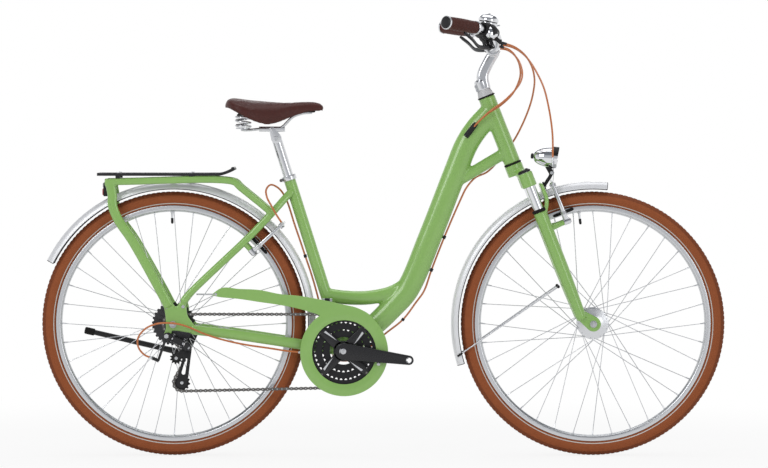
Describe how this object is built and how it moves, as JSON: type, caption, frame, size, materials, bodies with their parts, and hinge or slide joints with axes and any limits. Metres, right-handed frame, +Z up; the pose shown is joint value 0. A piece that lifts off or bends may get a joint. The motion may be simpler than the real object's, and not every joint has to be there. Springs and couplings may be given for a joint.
{
  "type": "step through bike",
  "caption": "Low-framed city bicycle with a sprung fork, rear rack, mudguards, lamps, chain guard and folded side stand",
  "frame": {"origin": "middle of the crank axle, in the bottom bracket shell", "axes": "+X forward, +Y to the rider's left, +Z up; the drive side faces -Y"},
  "size_m": [1.8101, 0.623, 1.1604],
  "materials": {
    "green": "gloss",
    "black": "satin",
    "dark": "satin",
    "crank": "satin black",
    "rings": "satin black",
    "chain": "oiled",
    "steel": "satin",
    "silver": "satin",
    "polished": "polished",
    "chrome": "mirror",
    "guard": "satin",
    "rim": "satin",
    "tyre": "matt, with a reflective line",
    "grip": "matt",
    "saddle": "satin",
    "casing": "gloss",
    "plastic": "matt",
    "lens": "clear red lens in a black housing"
  },
  "bodies": {
    "frame": {"frame_main": "green", "frame_rear": "green", "rack_platform": "black", "rear_light": "lens", "rear_fender": "guard", "seat_collar": "silver", "bottom_bracket": "steel", "chain_guard": "green", "kickstand_mount": "black", "chain": "chain", "rear_axle": "steel", "rear_brake_cable": "casing", "rear_gear_cable": "casing", "gear_cables": "casing", "rd_mount": "dark", "front_derailleur": "dark"},
    "seatpost": {"seatpost": "silver"},
    "saddle": {"saddle_rails": "dark", "saddle_spring_right": "steel", "saddle_spring_left": "steel", "saddle_cover": "saddle"},
    "crank": {"crank_right": "crank", "crank_left": "crank", "chainring_set": "rings"},
    "rear_wheel": {"rear_tyre": "tyre", "rear_rim": "rim", "rear_hub": "silver"},
    "cassette": {"cassette": "chain"},
    "rd_link": {"rd_link": "dark"},
    "rd_body": {"rd_body": "dark"},
    "rd_cage": {"rd_cage": "dark"},
    "rd_guide_pulley": {"rd_guide_pulley": "plastic"},
    "rd_tension_pulley": {"rd_tension_pulley": "plastic"},
    "front_derailleur_cage": {"front_derailleur_cage": "steel"},
    "kickstand_leg": {"kickstand_leg": "black"},
    "rear_brake_arm_right": {"rear_brake_arm_right": "silver"},
    "rear_brake_arm_left": {"rear_brake_arm_left": "silver"},
    "steerer": {"fork_crown": "green", "stanchion_right": "steel", "stanchion_left": "steel", "stem": "polished", "handlebar": "polished", "grip_right": "grip", "grip_left": "grip", "controls_right": "plastic", "controls_left": "plastic", "bell": "chrome"},
    "brake_lever_right": {"brake_lever_right": "dark"},
    "brake_lever_left": {"brake_lever_left": "dark"},
    "lowers": {"fork_lowers": "green", "front_axle": "steel", "front_fender": "guard", "headlight_bracket": "plastic", "front_brake_cable": "casing"},
    "front_brake_arm_right": {"front_brake_arm_right": "silver"},
    "front_brake_arm_left": {"front_brake_arm_left": "silver"},
    "headlight": {"headlight": "chrome"},
    "front_wheel": {"front_tyre": "tyre", "front_rim": "rim", "front_hub": "silver"}
  },
  "joints": [
    {"name": "steering", "type": "hinge", "parent": "frame", "child": "steerer", "pos_m": [0.44907, 0, 0.49715], "axis": [-0.3665, 0, 0.9304], "range_deg": [-60, 60], "deforming": ["rear_brake_cable", "gear_cables"]},
    {"name": "fork_travel", "type": "slide", "parent": "steerer", "child": "lowers", "axis": [-0.3665, 0, 0.9304], "range_m": [0, 0.05], "stiffness_N_per_m": 6000, "springref_m": -0.02, "deforming": ["front_brake_cable"]},
    {"name": "front_wheel_spin", "type": "hinge", "parent": "lowers", "child": "front_wheel", "pos_m": [0.66261, 0, 0.071], "axis": [0, 1, 0], "continuous": true},
    {"name": "rear_wheel_spin", "type": "hinge", "parent": "frame", "child": "rear_wheel", "pos_m": [-0.451, 0, 0.071], "axis": [0, 1, 0], "continuous": true},
    {"name": "crank_spin", "type": "hinge", "parent": "frame", "child": "crank", "pos_m": [0, 0, 0], "axis": [0, 1, 0], "continuous": true},
    {"name": "cassette_spin", "type": "hinge", "parent": "frame", "child": "cassette", "pos_m": [-0.451, 0, 0.071], "axis": [0, 1, 0], "continuous": true},
    {"name": "guide_pulley_spin", "type": "hinge", "parent": "rd_cage", "child": "rd_guide_pulley", "pos_m": [-0.443, -0.0567, -0.0186], "axis": [0, 1, 0], "continuous": true},
    {"name": "tension_pulley_spin", "type": "hinge", "parent": "rd_cage", "child": "rd_tension_pulley", "pos_m": [-0.428, -0.0567, -0.084], "axis": [0, 1, 0], "continuous": true},
    {"name": "lever_left_squeeze", "type": "hinge", "parent": "steerer", "child": "brake_lever_left", "pos_m": [0.3872, 0.1839, 0.8029], "axis": [0.7772, 0.5281, 0.3421], "range_deg": [0, 8], "stiffness_Nm_per_rad": 2, "springref_deg": -8.59},
    {"name": "lever_right_squeeze", "type": "hinge", "parent": "steerer", "child": "brake_lever_right", "pos_m": [0.3872, -0.1839, 0.8029], "axis": [-0.7772, 0.5281, -0.3421], "range_deg": [0, 8], "stiffness_Nm_per_rad": 2, "springref_deg": -8.59},
    {"name": "front_brake_arm_left_turn", "type": "hinge", "parent": "lowers", "child": "front_brake_arm_left", "pos_m": [0.5931, 0.039, 0.3429], "axis": [0.9304, 0, 0.3665], "range_deg": [0, 3], "deforming": ["front_brake_cable"]},
    {"name": "front_brake_arm_right_turn", "type": "hinge", "parent": "lowers", "child": "front_brake_arm_right", "pos_m": [0.5931, -0.039, 0.3429], "axis": [0.9304, 0, 0.3665], "range_deg": [-3, 0], "deforming": ["front_brake_cable"]},
    {"name": "rear_brake_arm_left_turn", "type": "hinge", "parent": "frame", "child": "rear_brake_arm_left", "pos_m": [-0.242, 0.039, 0.262], "axis": [0.6746, 0, -0.7381], "range_deg": [0, 3], "deforming": ["rear_brake_cable"]},
    {"name": "rear_brake_arm_right_turn", "type": "hinge", "parent": "frame", "child": "rear_brake_arm_right", "pos_m": [-0.242, -0.039, 0.262], "axis": [0.6746, 0, -0.7381], "range_deg": [-3, 0], "deforming": ["rear_brake_cable"]},
    {"name": "headlight_tilt", "type": "hinge", "parent": "lowers", "child": "headlight", "pos_m": [0.5527, 0, 0.4714], "axis": [0, 1, 0], "range_deg": [-10, 10]},
    {"name": "seatpost_height", "type": "slide", "parent": "frame", "child": "seatpost", "axis": [-0.3024, 0, 0.9532], "range_m": [-0.09, 0.05]},
    {"name": "saddle_tilt", "type": "hinge", "parent": "seatpost", "child": "saddle", "pos_m": [-0.1786, 0, 0.5629], "axis": [0, 1, 0], "range_deg": [-10, 10]},
    {"name": "rd_swing", "type": "hinge", "parent": "frame", "child": "rd_link", "pos_m": [-0.45207, -0.086, 0.03397], "axis": [0.4258, 0, 0.9048], "range_deg": [-6, 32], "deforming": ["chain"]},
    {"name": "rd_body_turn", "type": "hinge", "parent": "rd_link", "child": "rd_body", "pos_m": [-0.424, -0.086, 0.0208], "axis": [0.4258, 0, 0.9048], "range_deg": [-32, 6]},
    {"name": "rd_cage_swing", "type": "hinge", "parent": "rd_body", "child": "rd_cage", "pos_m": [-0.41, -0.086, 0.01], "axis": [0, 1, 0], "range_deg": [-15, 20], "stiffness_Nm_per_rad": 3, "deforming": ["chain"]},
    {"name": "front_shift", "type": "hinge", "parent": "frame", "child": "front_derailleur_cage", "pos_m": [-0.0428, -0.049, 0.135], "axis": [1, 0, 0], "range_deg": [0, 18], "deforming": ["chain"]},
    {"name": "kickstand_fold", "type": "hinge", "parent": "frame", "child": "kickstand_leg", "pos_m": [-0.427, 0.08425, -0.016], "axis": [0, -0.9829, -0.1839], "range_deg": [0, 95]}
  ],
  "couplings": [
    {"joint": "cassette_spin", "follows": "crank_spin", "ratio": 3.6923},
    {"joint": "guide_pulley_spin", "follows": "crank_spin", "ratio": -4.3636},
    {"joint": "tension_pulley_spin", "follows": "crank_spin", "ratio": 4.3636},
    {"joint": "front_brake_arm_left_turn", "follows": "lever_left_squeeze", "ratio": 0.375},
    {"joint": "front_brake_arm_right_turn", "follows": "lever_left_squeeze", "ratio": -0.375},
    {"joint": "rear_brake_arm_left_turn", "follows": "lever_right_squeeze", "ratio": 0.375},
    {"joint": "rear_brake_arm_right_turn", "follows": "lever_right_squeeze", "ratio": -0.375},
    {"joint": "rd_body_turn", "follows": "rd_swing", "ratio": -1}
  ]
}
